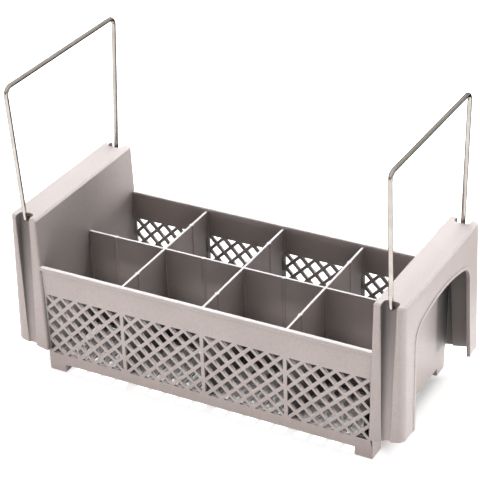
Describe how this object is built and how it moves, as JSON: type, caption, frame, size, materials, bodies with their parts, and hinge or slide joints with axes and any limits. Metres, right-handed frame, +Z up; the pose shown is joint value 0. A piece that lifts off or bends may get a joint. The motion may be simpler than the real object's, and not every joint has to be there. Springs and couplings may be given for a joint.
{
  "type": "cutlery basket",
  "caption": "Moulded dishwasher cutlery basket: lattice walls, divided compartments, hollow arched end housings, and wire bails hinged in side grooves.",
  "frame": {"origin": "middle of the basket's footprint, at the level its feet stand on", "axes": "+X along the basket from the left bail to the right bail, +Y to the rear wall, +Z up"},
  "size_m": [0.4366, 0.2004, 0.3223],
  "materials": {
    "body_plastic": "satin moulded polypropylene, warm light grey",
    "bail_wire": "bright drawn stainless steel wire"
  },
  "bodies": {
    "basket": {"basket_body": "body_plastic"},
    "left_bail": {"bail_left": "bail_wire"},
    "right_bail": {"bail_right": "bail_wire"}
  },
  "joints": [
    {"name": "left_bail_hinge", "type": "hinge", "parent": "basket", "child": "left_bail", "pos_m": [-0.19901, 0, 0.171], "axis": [0, 1, 0], "range_deg": [-35, 35]},
    {"name": "right_bail_hinge", "type": "hinge", "parent": "basket", "child": "right_bail", "pos_m": [0.19901, 0, 0.171], "axis": [0, 1, 0], "range_deg": [-35, 35]}
  ]
}
